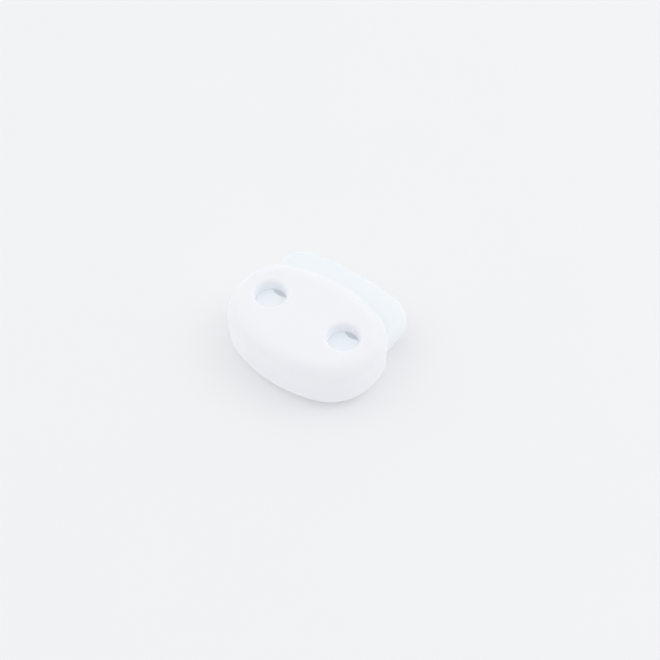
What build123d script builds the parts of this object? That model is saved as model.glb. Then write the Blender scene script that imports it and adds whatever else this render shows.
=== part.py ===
from build123d import *
import os

# Two-hole spring cord lock: a flat pebble-shaped body, open along its back, with a sprung
# plunger that slides between its two walls. Pressing the plunger brings its two cord holes into
# line with the body's, and letting go clamps the cords.
# +X runs from cord hole to cord hole, +Z up through the holes, and the plunger's button points
# along +Y. The origin is on the underside, midway between the cord holes. Millimetres.

# Body
BODY_LENGTH = 20.0
BODY_HEIGHT = 6.8
FRONT_DEPTH = 7.2  # from the line between the cord holes to the front
BACK_DEPTH = 6.85  # and to the back
FRONT_RADIUS = 17.0  # the shallow arc along the front
BACK_RADIUS = 18.6
FRONT_SHOULDER_RADIUS = 6.5  # joins the front's arc to the short straight end
BACK_SHOULDER_RADIUS = 5.4
EDGE_ROUND = 2.0
WALL = 1.5  # above and below the cavity
SIDE_WALL = 0.8
SIDE_WALL_END = 2.9  # how far back the side walls reach

# Cord holes
CORD_HOLE_RADIUS = 1.9  # takes 3 mm cord
CORD_HOLE_SPACING = 10.7
HOLE_ROUND = 0.5

# Plunger
SIDE_PLAY = 0.1
FACE_PLAY = 0.12
TRAVEL = 3.4
HOLE_OFFSET = 3.2  # how far the plunger's holes stand behind the body's at rest
BUTTON_TIP = 10.4  # the rearmost point at rest
BUTTON_BACK_RADIUS = 36.0
BUTTON_CORNER_RADIUS = 3.4
BUTTON_TIP_HEIGHT = 2.0
BUTTON_DOME_DEPTH = 6.4  # over which the button thins towards its tip
BUTTON_SIDE_HEIGHT = 2.6  # and its crown thins to this at its sides
BUTTON_ROUND = 0.8
LAND_ROUND = 0.25
LAND_STEP = 0.15  # how far the land stands out past the button's sides

# Catch: a bead inside each lip, which stops the thicker land at the plunger's front
BEAD_BACK = 0.4  # from the lip forward to the bead
BEAD_WIDTH = 0.5
BEAD_HEIGHT = 0.3
BEAD_HALF_LENGTH = 7.0
STOP_GAP = 0.05

# Spring, and what holds its ends
SPRING_DIAMETER = 3.4
WIRE_DIAMETER = 0.4
SPRING_TURNS = 10
SPRING_END_GAP = 0.03
SLOT_WIDTH = 3.8
SLOT_END = 3.9
SEAT_DIAMETER = 3.5
SEAT_Y = -6.2
PEG_DIAMETER = 2.2
PEG_LENGTH = 1.3
TONGUE_WIDTH = 1.6
TONGUE_HEIGHT = 1.8
TONGUE_LENGTH = 1.2
TIP_CHAMFER = 0.3

MID_HEIGHT = BODY_HEIGHT / 2
CAVITY_HEIGHT = BODY_HEIGHT - 2 * WALL
CAVITY_HALF_LENGTH = BODY_LENGTH / 2 - SIDE_WALL
LAND_HEIGHT = CAVITY_HEIGHT - 2 * FACE_PLAY
BUTTON_HEIGHT = LAND_HEIGHT - 2 * BEAD_HEIGHT
PLUNGER_HALF_LENGTH = CAVITY_HALF_LENGTH - SIDE_PLAY
BUTTON_HALF_LENGTH = PLUNGER_HALF_LENGTH - LAND_STEP
BEAD_FRONT = BEAD_BACK + BEAD_WIDTH
REACH = 2 * BODY_LENGTH  # longer than anything here, for cutting tools

# The body seen from above: two shallow arcs, joined at each end by two tighter ones
with BuildSketch() as outline:
    with Locations((0, FRONT_RADIUS - FRONT_DEPTH)):
        Circle(FRONT_RADIUS)
    with Locations((0, BACK_DEPTH - BACK_RADIUS)):
        Circle(BACK_RADIUS, mode=Mode.INTERSECT)
    Rectangle(BODY_LENGTH, REACH, mode=Mode.INTERSECT)
    fillet(outline.vertices().group_by(Axis.Y)[0], FRONT_SHOULDER_RADIUS)
    fillet(outline.vertices().group_by(Axis.Y)[-1], BACK_SHOULDER_RADIUS)

# The cavity: an even wall inside the front half, straight sides behind it, and a mouth as wide
# as the body
with BuildSketch() as cavity:
    add(outline.sketch)
    offset(amount=-SIDE_WALL)
    Rectangle(2 * CAVITY_HALF_LENGTH, REACH, align=(Align.CENTER, Align.MIN))
    with Locations((0, SIDE_WALL_END)):
        Rectangle(REACH, REACH, align=(Align.CENTER, Align.MIN))

with BuildPart() as body:
    add(extrude(outline.sketch, amount=BODY_HEIGHT, mode=Mode.PRIVATE))
    fillet(body.faces().filter_by(Axis.Z).edges(), EDGE_ROUND)
    with BuildSketch(Plane.XY.offset(WALL)):
        add(cavity.sketch)
    extrude(amount=CAVITY_HEIGHT, mode=Mode.SUBTRACT)

    # The cord holes, with soft rims outside
    with BuildSketch():
        with GridLocations(CORD_HOLE_SPACING, 0, 2, 1):
            Circle(CORD_HOLE_RADIUS)
    extrude(amount=BODY_HEIGHT, mode=Mode.SUBTRACT)
    flat_faces = body.faces().filter_by(Axis.Z).group_by(Axis.Z)
    rims = (flat_faces[0] + flat_faces[-1]).edges().filter_by(GeomType.CIRCLE)
    fillet(rims.filter_by(lambda edge: edge.radius == CORD_HOLE_RADIUS), HOLE_ROUND)

    # The bead inside each lip
    with BuildSketch(Plane.XY.offset(WALL)):
        with Locations((0, -BEAD_BACK)):
            add(outline.sketch)
        with Locations((0, -BEAD_FRONT)):
            add(outline.sketch, mode=Mode.SUBTRACT)
        Rectangle(2 * BEAD_HALF_LENGTH, REACH, align=(Align.CENTER, Align.MIN), mode=Mode.INTERSECT)
    extrude(amount=BEAD_HEIGHT)
    mirror(about=Plane.XY.offset(MID_HEIGHT))

    # The spring's seat and peg, on the inside of the front wall
    front_wall = Plane(origin=(0, -FRONT_DEPTH, MID_HEIGHT), x_dir=(1, 0, 0), z_dir=(0, 1, 0))
    with BuildSketch(front_wall.offset(SIDE_WALL / 2)):
        Circle(SEAT_DIAMETER / 2)
    extrude(amount=FRONT_DEPTH + SEAT_Y - SIDE_WALL / 2)
    with BuildSketch(front_wall.offset(FRONT_DEPTH + SEAT_Y)):
        Circle(PEG_DIAMETER / 2)
    extrude(amount=PEG_LENGTH)
    peg_end = body.faces().sort_by_distance((0, SEAT_Y + PEG_LENGTH, MID_HEIGHT))[0]
    chamfer(peg_end.edges(), TIP_CHAMFER)

# The button seen from above: straight sides and a shallow arc behind
with BuildSketch() as button_outline:
    with Locations((0, TRAVEL)):
        Rectangle(2 * BUTTON_HALF_LENGTH, REACH, align=(Align.CENTER, Align.MIN))
    with Locations((0, BUTTON_TIP - BUTTON_BACK_RADIUS)):
        Circle(BUTTON_BACK_RADIUS, mode=Mode.INTERSECT)
    fillet(button_outline.vertices().group_by(Axis.Y)[-1], BUTTON_CORNER_RADIUS)

# The land seen from above: its front fits the cavity's front when pressed, and its back meets
# the beads
with BuildSketch() as land_outline:
    with Locations((0, TRAVEL)):
        add(offset(outline.sketch, amount=-SIDE_WALL - SIDE_PLAY, mode=Mode.PRIVATE))
        Rectangle(2 * PLUNGER_HALF_LENGTH, REACH, align=(Align.CENTER, Align.MIN))
    with Locations((0, -BEAD_FRONT - STOP_GAP)):
        add(outline.sketch, mode=Mode.INTERSECT)

with BuildPart() as plunger:
    add(extrude(button_outline.sketch, amount=BODY_HEIGHT, mode=Mode.PRIVATE))

    # Seen from the side it is level, and then thins to the button's tip
    with BuildSketch(Plane.YZ.offset(-BODY_LENGTH)):
        with BuildLine():
            dome_start = BUTTON_TIP - BUTTON_DOME_DEPTH
            top_height = MID_HEIGHT + BUTTON_HEIGHT / 2
            top = Line((-REACH, top_height), (dome_start, top_height))
            dome = TangentArc(top @ 1, (BUTTON_TIP, MID_HEIGHT + BUTTON_TIP_HEIGHT / 2), tangent=top % 1)
            Polyline(dome @ 1, (REACH, MID_HEIGHT + BUTTON_TIP_HEIGHT / 2), (REACH, MID_HEIGHT))
            Line(top @ 0, (-REACH, MID_HEIGHT))
            mirror(about=Plane.XZ.offset(-MID_HEIGHT))
        make_face()
    extrude(amount=2 * BODY_LENGTH, mode=Mode.INTERSECT)

    # Seen from the back it is slightly crowned
    with BuildSketch(Plane.XZ.offset(-REACH)):
        with BuildLine():
            side_height = MID_HEIGHT + BUTTON_SIDE_HEIGHT / 2
            left_side = (-BUTTON_HALF_LENGTH, side_height)
            right_side = (BUTTON_HALF_LENGTH, side_height)
            crown = ThreePointArc(left_side, (0, top_height), right_side)
            Line(crown @ 0, (-BUTTON_HALF_LENGTH, MID_HEIGHT))
            Line(crown @ 1, (BUTTON_HALF_LENGTH, MID_HEIGHT))
            mirror(about=Plane.XZ.offset(-MID_HEIGHT))
        make_face()
    extrude(amount=2 * REACH, mode=Mode.INTERSECT)
    level_edges = plunger.edges().filter_by(Axis.Z, reverse=True)
    fillet(level_edges.filter_by(lambda edge: edge.center().Y > TRAVEL + STOP_GAP), BUTTON_ROUND)

    # The thicker land, with its front and side edges eased
    with BuildSketch(Plane.XY.offset(MID_HEIGHT - LAND_HEIGHT / 2)):
        add(land_outline.sketch)
    extrude(amount=LAND_HEIGHT)
    land_faces = plunger.faces().filter_by(Axis.Z).group_by(Axis.Z)
    land_edges = (land_faces[0] + land_faces[-1]).edges()
    fillet(land_edges.filter_by(lambda edge: edge.center().Y < HOLE_OFFSET), LAND_ROUND)

    # The cord holes
    with BuildSketch():
        with Locations((0, HOLE_OFFSET)):
            with GridLocations(CORD_HOLE_SPACING, 0, 2, 1):
                Circle(CORD_HOLE_RADIUS)
    extrude(amount=BODY_HEIGHT, mode=Mode.SUBTRACT)

    # The slot for the spring, open above, below and in front, and the tongue at its end
    with BuildSketch():
        with Locations((0, SLOT_END)):
            Rectangle(SLOT_WIDTH, REACH, align=(Align.CENTER, Align.MAX))
    extrude(amount=BODY_HEIGHT, mode=Mode.SUBTRACT)
    slot_end = Plane(origin=(0, SLOT_END, MID_HEIGHT), x_dir=(1, 0, 0), z_dir=(0, -1, 0))
    with BuildSketch(slot_end):
        Rectangle(TONGUE_WIDTH, TONGUE_HEIGHT)
    extrude(amount=TONGUE_LENGTH)
    tongue_tip = plunger.faces().sort_by_distance((0, SLOT_END - TONGUE_LENGTH, MID_HEIGHT))[0]
    chamfer(tongue_tip.edges(), TIP_CHAMFER)

# The spring lies along Y, from its seat to the end of the plunger's slot
with BuildPart() as spring:
    first_turn = SEAT_Y + WIRE_DIAMETER / 2 + SPRING_END_GAP
    coil_length = SLOT_END - SPRING_END_GAP - WIRE_DIAMETER / 2 - first_turn
    with BuildLine() as coil:
        Helix(
            pitch=coil_length / SPRING_TURNS,
            height=coil_length,
            radius=(SPRING_DIAMETER - WIRE_DIAMETER) / 2,
            center=(0, first_turn, MID_HEIGHT),
            direction=(0, 1, 0),
        )
    with BuildSketch(coil.line ^ 0):
        Circle(WIRE_DIAMETER / 2)
    sweep(path=coil.line, is_frenet=True)

os.makedirs("parts", exist_ok=True)
for piece, name in ((body, "body"), (plunger, "plunger"), (spring, "spring")):
    piece.part.label = name
    export_step(piece.part, f"parts/{name}.step")
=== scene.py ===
"""Looks for the two-hole spring cord lock: satin white mouldings and a bright steel spring.

The body and the plunger keep their CAD shapes and get moulded-plastic materials. The spring is
rebuilt here as round wire with closed ends. Everything is in metres, in the CAD's own frame.
"""

import math

import bmesh
import bpy
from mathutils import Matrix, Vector


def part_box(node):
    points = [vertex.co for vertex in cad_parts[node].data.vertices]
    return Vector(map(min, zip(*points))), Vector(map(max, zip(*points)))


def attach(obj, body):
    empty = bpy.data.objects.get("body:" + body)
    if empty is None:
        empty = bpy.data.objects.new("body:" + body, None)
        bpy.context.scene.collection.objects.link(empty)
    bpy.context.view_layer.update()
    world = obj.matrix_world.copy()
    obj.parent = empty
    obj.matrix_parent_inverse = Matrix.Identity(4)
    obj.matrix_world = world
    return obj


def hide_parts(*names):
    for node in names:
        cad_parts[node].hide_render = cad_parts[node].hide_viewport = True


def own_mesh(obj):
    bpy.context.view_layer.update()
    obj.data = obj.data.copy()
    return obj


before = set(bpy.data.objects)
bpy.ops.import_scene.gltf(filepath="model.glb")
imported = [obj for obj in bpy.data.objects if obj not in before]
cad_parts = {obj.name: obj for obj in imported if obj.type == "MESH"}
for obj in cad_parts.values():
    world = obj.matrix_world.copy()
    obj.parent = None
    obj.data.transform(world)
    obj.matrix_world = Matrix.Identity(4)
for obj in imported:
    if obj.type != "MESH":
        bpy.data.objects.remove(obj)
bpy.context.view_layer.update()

MM = 0.001

# Where the camera stands, round the middle of the body
CAMERA_AZIMUTH = math.radians(37.0)
CAMERA_ELEVATION = math.radians(52.4)
CAMERA_DISTANCE = 160 * MM
CAMERA_RIGHT = 2.72 * MM  # how far it looks past the middle, to the right and up
CAMERA_UP = 0.26 * MM
VIEW_WIDTH = 78.2 * MM  # what the image spans at that distance
SENSOR_WIDTH = 36.0  # millimetres, Blender's own default

# Spring wire
WIRE_DIAMETER = 0.4 * MM
COILS = 9  # open turns between the closed ends
CLOSED_TURNS = 1.25  # at each end, wound against each other
WIRE_SIDES = 20
POINTS_PER_TURN = 72
EASING = 0.12  # how much closer the open turns stand near the closed ends
END_DOME = ((0.8, 0.25), (0.45, 0.4))  # rings at the wire's ends: width and rise, in radii

# The two mouldings' whites, each from its duller clouds to its cleaner ones
BODY_WHITES = (0.775, 0.788, 0.826, 1), (0.785, 0.798, 0.832, 1)
PLUNGER_WHITES = (0.758, 0.799, 0.836, 1), (0.768, 0.809, 0.842, 1)
PLUNGER_SEED = 0.37  # metres, which moves its grain off the body's

SCRATCH_ANGLE = math.radians(35.0)
SCRATCH_STRETCH = 14.0
SCRATCH_LEVEL = 0.5  # a scratch is where the stretched noise crosses this
SCRATCH_WIDTH = 0.004

FLOOR_SIZE = 4.0
GLOW = 0.15  # emission that stands in for light scattered through the milky walls
TENT_STRENGTH = 0.915
TENT_FRONT_SHARE = 0.75  # how bright the tent is at the camera's side, beside the rest
LIGHT_DISTANCE = 0.5
SOFT_BOX_SIZE = 0.40
SOFT_BOX_SIDE = 80.0  # degrees round from straight behind the object
SOFT_BOX_ELEVATION = 48.0
LEFT_POWER = 0.11  # watts
RIGHT_POWER = 0.20


# ------------------------------------------------------------------------------------------
# Materials


class Nodes:
    """A short way to add nodes to one material and to join them."""

    def __init__(self, name):
        self.material = bpy.data.materials.new(name)
        self.material.use_nodes = True
        self.tree = self.material.node_tree
        self.shader = self.tree.nodes["Principled BSDF"]

    def add(self, kind, settings=None, **inputs):
        node = self.tree.nodes.new(kind)
        for name, value in (settings or {}).items():
            setattr(node, name, value)
        for name, value in inputs.items():
            self.put(node, name.replace("_", " "), value)
        return node

    def put(self, node, name, value):
        """Sets a socket, or joins it where the value is another node's socket."""
        socket = node.inputs[name]
        if isinstance(value, bpy.types.NodeSocket):
            self.tree.links.new(value, socket)
        else:
            socket.default_value = value

    def noise(self, scale, detail=2.0, roughness=0.5, vector=None):
        """Noise in the object's own coordinates, with features of about 1 / scale metres."""
        place = vector or self.add("ShaderNodeTexCoord").outputs["Object"]
        node = self.add("ShaderNodeTexNoise", Vector=place, Scale=scale, Detail=detail)
        node.inputs["Roughness"].default_value = roughness
        return node.outputs["Fac"]

    def spread(self, value, low, high, from_low=0.3, from_high=0.7):
        """The value's usual range, mapped to the range from low to high."""
        node = self.add("ShaderNodeMapRange", Value=value)
        ends = {"From Min": from_low, "From Max": from_high, "To Min": low, "To Max": high}
        for name, number in ends.items():
            node.inputs[name].default_value = number
        return node.outputs["Result"]

    def blend(self, share, first, second):
        node = self.add("ShaderNodeMix", {"data_type": "RGBA"})
        self.put(node, "Factor", share)
        for socket, value in zip([s for s in node.inputs if s.type == "RGBA"], (first, second)):
            if isinstance(value, bpy.types.NodeSocket):
                self.tree.links.new(value, socket)
            else:
                socket.default_value = value
        return [s for s in node.outputs if s.type == "RGBA"][0]

    def bump(self, height, distance, strength=1.0, normal=None):
        node = self.add("ShaderNodeBump", Height=height, Distance=distance, Strength=strength)
        if normal is not None:
            self.put(node, "Normal", normal)
        return node.outputs["Normal"]


def moulded_plastic(name, seed, duller, cleaner):
    """Satin white nylon: faintly milky, with a fine spark-eroded grain, soft flow clouds and
    a few hair-fine handling scratches."""
    m = Nodes(name)
    place = m.add("ShaderNodeTexCoord").outputs["Object"]
    shifted = m.add("ShaderNodeMapping", Vector=place)
    shifted.inputs["Location"].default_value = (seed, 0.0, 0.0)
    place = shifted.outputs["Vector"]

    # Flow clouds, a few millimetres across, barely there
    clouds = m.noise(260.0, 3.0, 0.55, place)
    white = m.blend(m.spread(clouds, 0.0, 1.0), duller, cleaner)
    m.put(m.shader, "Base Color", white)

    # The grain of the mould, with the gloss going up and down with it
    grain = m.noise(9000.0, 4.0, 0.6, place)
    patches = m.noise(900.0, 2.0, 0.5, place)
    gloss = m.add("ShaderNodeMath", {"operation": "ADD"})
    m.tree.links.new(m.spread(grain, -0.05, 0.05), gloss.inputs[0])
    m.tree.links.new(m.spread(patches, 0.36, 0.44), gloss.inputs[1])
    m.put(m.shader, "Roughness", gloss.outputs["Value"])

    # Scratches: the thin places where a stretched noise crosses its middle
    stretched = m.add("ShaderNodeMapping", Vector=place)
    stretched.inputs["Rotation"].default_value = (0.0, 0.0, SCRATCH_ANGLE)
    stretched.inputs["Scale"].default_value = (1.0, SCRATCH_STRETCH, 1.0)
    lines = m.noise(300.0, 1.0, 0.4, stretched.outputs["Vector"])
    crossing = m.add("ShaderNodeMath", {"operation": "COMPARE"})
    m.tree.links.new(lines, crossing.inputs[0])
    crossing.inputs[1].default_value = SCRATCH_LEVEL
    crossing.inputs[2].default_value = SCRATCH_WIDTH
    where = m.spread(m.noise(420.0, 1.0, 0.5, place), 0.0, 1.0, 0.56, 0.62)
    scratch = m.add("ShaderNodeMath", {"operation": "MULTIPLY"})
    m.tree.links.new(crossing.outputs["Value"], scratch.inputs[0])
    m.tree.links.new(where, scratch.inputs[1])

    sinks = m.bump(clouds, 0.02 * MM, 0.5)
    fine = m.bump(grain, 0.004 * MM, 0.5, sinks)
    normal = m.bump(scratch.outputs["Value"], -0.003 * MM, 0.5, fine)
    m.put(m.shader, "Normal", normal)

    m.put(m.shader, "IOR", 1.5)
    m.put(m.shader, "Specular IOR Level", 0.5)
    m.put(m.shader, "Subsurface Weight", 0.5)
    m.put(m.shader, "Subsurface Radius", (1.0, 1.0, 1.0))
    m.put(m.shader, "Subsurface Scale", 0.3 * MM)

    # Milky walls let light into the hollow. The plastic doesn't shine by itself: this even
    # emission stands in for that, and the base colour is darker than real to make room for it.
    m.put(m.shader, "Emission Color", (0.97, 0.985, 1.0, 1))
    m.put(m.shader, "Emission Strength", GLOW)
    return m.material


def spring_wire(name):
    """Bright drawn steel wire, with die lines along it and a thin brown-blue film here and
    there."""
    m = Nodes(name)
    place = m.add("ShaderNodeTexCoord").outputs["Object"]
    film = m.noise(700.0, 3.0, 0.55, place)
    filmed = m.spread(film, 0.0, 1.0, 0.35, 0.75)
    steel = m.blend(filmed, (0.66, 0.66, 0.67, 1), (0.50, 0.48, 0.46, 1))
    m.put(m.shader, "Base Color", steel)
    m.put(m.shader, "Metallic", 1.0)
    lines = m.add("ShaderNodeMapping", Vector=m.add("ShaderNodeTexCoord").outputs["UV"])
    lines.inputs["Scale"].default_value = (6.0, 1.0, 1.0)
    drawn = m.noise(14.0, 3.0, 0.6, lines.outputs["Vector"])
    m.put(m.shader, "Roughness", m.spread(drawn, 0.22, 0.38))
    m.put(m.shader, "Normal", m.bump(drawn, 0.004 * MM, 0.5))
    return m.material


def pale_floor(name):
    """A matt studio sheet, with the faintest paper mottle."""
    m = Nodes(name)
    place = m.add("ShaderNodeTexCoord").outputs["Object"]
    mottle = m.noise(60.0, 4.0, 0.5, place)
    sheet = m.blend(mottle, (0.935, 0.942, 0.954, 1), (0.945, 0.952, 0.964, 1))
    m.put(m.shader, "Base Color", sheet)
    m.put(m.shader, "Roughness", 0.85)
    m.put(m.shader, "Specular IOR Level", 0.15)
    return m.material


def paint(node, material):
    """Gives a CAD node a material through its object's own slots."""
    for material_slot in node.material_slots:
        material_slot.link = "OBJECT"
        material_slot.material = material


# ------------------------------------------------------------------------------------------
# The spring


def wire_path(start, end, radius, height):
    """The middle of the wire: closed turns at both ends and open turns between them."""
    turns = COILS + 2 * CLOSED_TURNS
    open_length = end - start - 2 * CLOSED_TURNS * WIRE_DIAMETER
    points = []
    for step in range(int(turns * POINTS_PER_TURN) + 1):
        turn = step / POINTS_PER_TURN
        opened = min(max(turn - CLOSED_TURNS, 0.0), COILS)
        closed = turn - opened
        wave = math.sin(2 * math.pi * opened / COILS) * COILS / (2 * math.pi)
        eased = opened - wave * EASING
        y = start + closed * WIRE_DIAMETER + eased / COILS * open_length
        angle = 2 * math.pi * turn
        points.append(Vector((radius * math.cos(angle), y, height + radius * math.sin(angle))))
    return points


def tube(name, points, radius):
    """A round tube along the points, with domed ends and a UV along and around the wire."""
    shape = bmesh.new()
    uv = shape.loops.layers.uv.new("wire")
    rings = []
    for index, point in enumerate(points):
        ahead = points[min(index + 1, len(points) - 1)] - points[max(index - 1, 0)]
        ahead.normalize()
        across = ahead.cross(Vector((0.0, 1.0, 0.0))).normalized()
        up = across.cross(ahead)
        ring = []
        for side in range(WIRE_SIDES):
            angle = 2 * math.pi * side / WIRE_SIDES
            offset = across * math.cos(angle) + up * math.sin(angle)
            ring.append(shape.verts.new(point + offset * radius))
        rings.append((ring, ahead, point))
    for index in range(len(rings) - 1):
        for side in range(WIRE_SIDES):
            after = (side + 1) % WIRE_SIDES
            first, second = rings[index][0], rings[index + 1][0]
            face = shape.faces.new((first[side], first[after], second[after], second[side]))
            face.smooth = True
            corners = ((index, side), (index, side + 1), (index + 1, side + 1), (index + 1, side))
            for loop, (along, around) in zip(face.loops, corners):
                loop[uv].uv = (around / WIRE_SIDES, along / POINTS_PER_TURN)
    for (ring, ahead, point), way in ((rings[0], -1), (rings[-1], 1)):
        previous = ring
        for share, bulge in END_DOME:
            smaller = []
            for vert in ring:
                inward = (vert.co - point) * share
                smaller.append(shape.verts.new(point + inward + ahead * way * bulge * radius))
            for side in range(WIRE_SIDES):
                after = (side + 1) % WIRE_SIDES
                corners = (previous[side], previous[after], smaller[after], smaller[side])
                face = shape.faces.new(corners)
                face.smooth = True
            previous = smaller
        shape.faces.new(previous)
    bmesh.ops.recalc_face_normals(shape, faces=shape.faces)
    mesh = bpy.data.meshes.new(name)
    shape.to_mesh(mesh)
    shape.free()
    piece = bpy.data.objects.new(name, mesh)
    bpy.context.scene.collection.objects.link(piece)
    return piece


def make_spring():
    low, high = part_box("spring")
    radius = (high.x - low.x - WIRE_DIAMETER) / 2
    start = low.y + WIRE_DIAMETER / 2
    end = high.y - WIRE_DIAMETER / 2
    path = wire_path(start, end, radius, (low.z + high.z) / 2)
    spring = tube("spring_wire", path, WIRE_DIAMETER / 2)
    spring.data.materials.append(spring_wire("drawn_spring_steel"))
    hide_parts("spring")
    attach(spring, "body")
    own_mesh(spring)
    return spring


# ------------------------------------------------------------------------------------------
# Floor, light and camera


def make_floor():
    mesh = bpy.data.meshes.new("floor")
    half = FLOOR_SIZE / 2
    mesh.from_pydata(
        [(-half, -half, 0), (half, -half, 0), (half, half, 0), (-half, half, 0)], [], [(0, 1, 2, 3)]
    )
    floor = bpy.data.objects.new("floor", mesh)
    bpy.context.scene.collection.objects.link(floor)
    mesh.materials.append(pale_floor("studio_sheet"))


def view_axes():
    """The camera's right, up and back directions."""
    ahead = Vector((-math.sin(CAMERA_AZIMUTH), math.cos(CAMERA_AZIMUTH), 0.0))
    right = Vector((math.cos(CAMERA_AZIMUTH), math.sin(CAMERA_AZIMUTH), 0.0))
    rise, level = math.sin(CAMERA_ELEVATION), math.cos(CAMERA_ELEVATION)
    up = ahead * rise + Vector((0.0, 0.0, level))
    back = Vector((0.0, 0.0, rise)) - ahead * level
    return right, up, back


def make_camera():
    low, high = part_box("body")
    right, up, back = view_axes()
    middle = Vector((0.0, 0.0, (low.z + high.z) / 2))
    data = bpy.data.cameras.new("camera")
    data.sensor_width = SENSOR_WIDTH
    data.lens = SENSOR_WIDTH * CAMERA_DISTANCE / VIEW_WIDTH
    data.clip_start = 1 * MM
    camera = bpy.data.objects.new("camera", data)
    camera.location = middle + right * CAMERA_RIGHT + up * CAMERA_UP + back * CAMERA_DISTANCE
    camera.rotation_euler = back.to_track_quat("Z", "Y").to_euler()
    bpy.context.scene.collection.objects.link(camera)
    bpy.context.scene.camera = camera


def area_light(name, side, elevation, size, power):
    """A soft box that faces the object. Side is how far clockwise it stands from straight
    behind the object, as the camera sees it, and elevation its height, both in degrees."""
    right = view_axes()[0]
    ahead = Vector((-right.y, right.x, 0.0))
    turn, rise = math.radians(side), math.radians(elevation)
    level = ahead * math.cos(turn) + right * math.sin(turn)
    direction = level * math.cos(rise) + Vector((0.0, 0.0, math.sin(rise)))
    data = bpy.data.lights.new(name, "AREA")
    data.shape = "DISK"
    data.size = size
    data.energy = power
    light = bpy.data.objects.new(name, data)
    light.location = direction * LIGHT_DISTANCE
    light.rotation_euler = direction.to_track_quat("Z", "Y").to_euler()
    bpy.context.scene.collection.objects.link(light)


def make_light():
    """A white tent, a little darker at the camera's side, with a soft box high on each side."""
    world = bpy.data.worlds.new("tent")
    bpy.context.scene.world = world
    world.use_nodes = True
    nodes, links = world.node_tree.nodes, world.node_tree.links
    background = nodes["Background"]
    background.inputs["Color"].default_value = (1.0, 1.0, 1.0, 1)
    right = view_axes()[0]
    towards_front = nodes.new("ShaderNodeVectorMath")
    towards_front.operation = "DOT_PRODUCT"
    links.new(nodes.new("ShaderNodeTexCoord").outputs["Generated"], towards_front.inputs[0])
    towards_front.inputs[1].default_value = (right.y, -right.x, 0.0)
    fade = nodes.new("ShaderNodeMapRange")
    links.new(towards_front.outputs["Value"], fade.inputs["Value"])
    fade.inputs["To Min"].default_value = TENT_STRENGTH
    fade.inputs["To Max"].default_value = TENT_STRENGTH * TENT_FRONT_SHARE
    links.new(fade.outputs["Result"], background.inputs["Strength"])
    area_light("soft_box_left", -SOFT_BOX_SIDE, SOFT_BOX_ELEVATION, SOFT_BOX_SIZE, LEFT_POWER)
    area_light("soft_box_right", SOFT_BOX_SIDE, SOFT_BOX_ELEVATION, SOFT_BOX_SIZE, RIGHT_POWER)
    view = bpy.context.scene.view_settings
    view.view_transform = "Standard"
    view.look = "None"


paint(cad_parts["body"], moulded_plastic("moulded_body_white", 0.0, *BODY_WHITES))
paint(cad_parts["plunger"], moulded_plastic("moulded_plunger_white", PLUNGER_SEED, *PLUNGER_WHITES))
make_spring()
make_floor()
make_light()
make_camera()
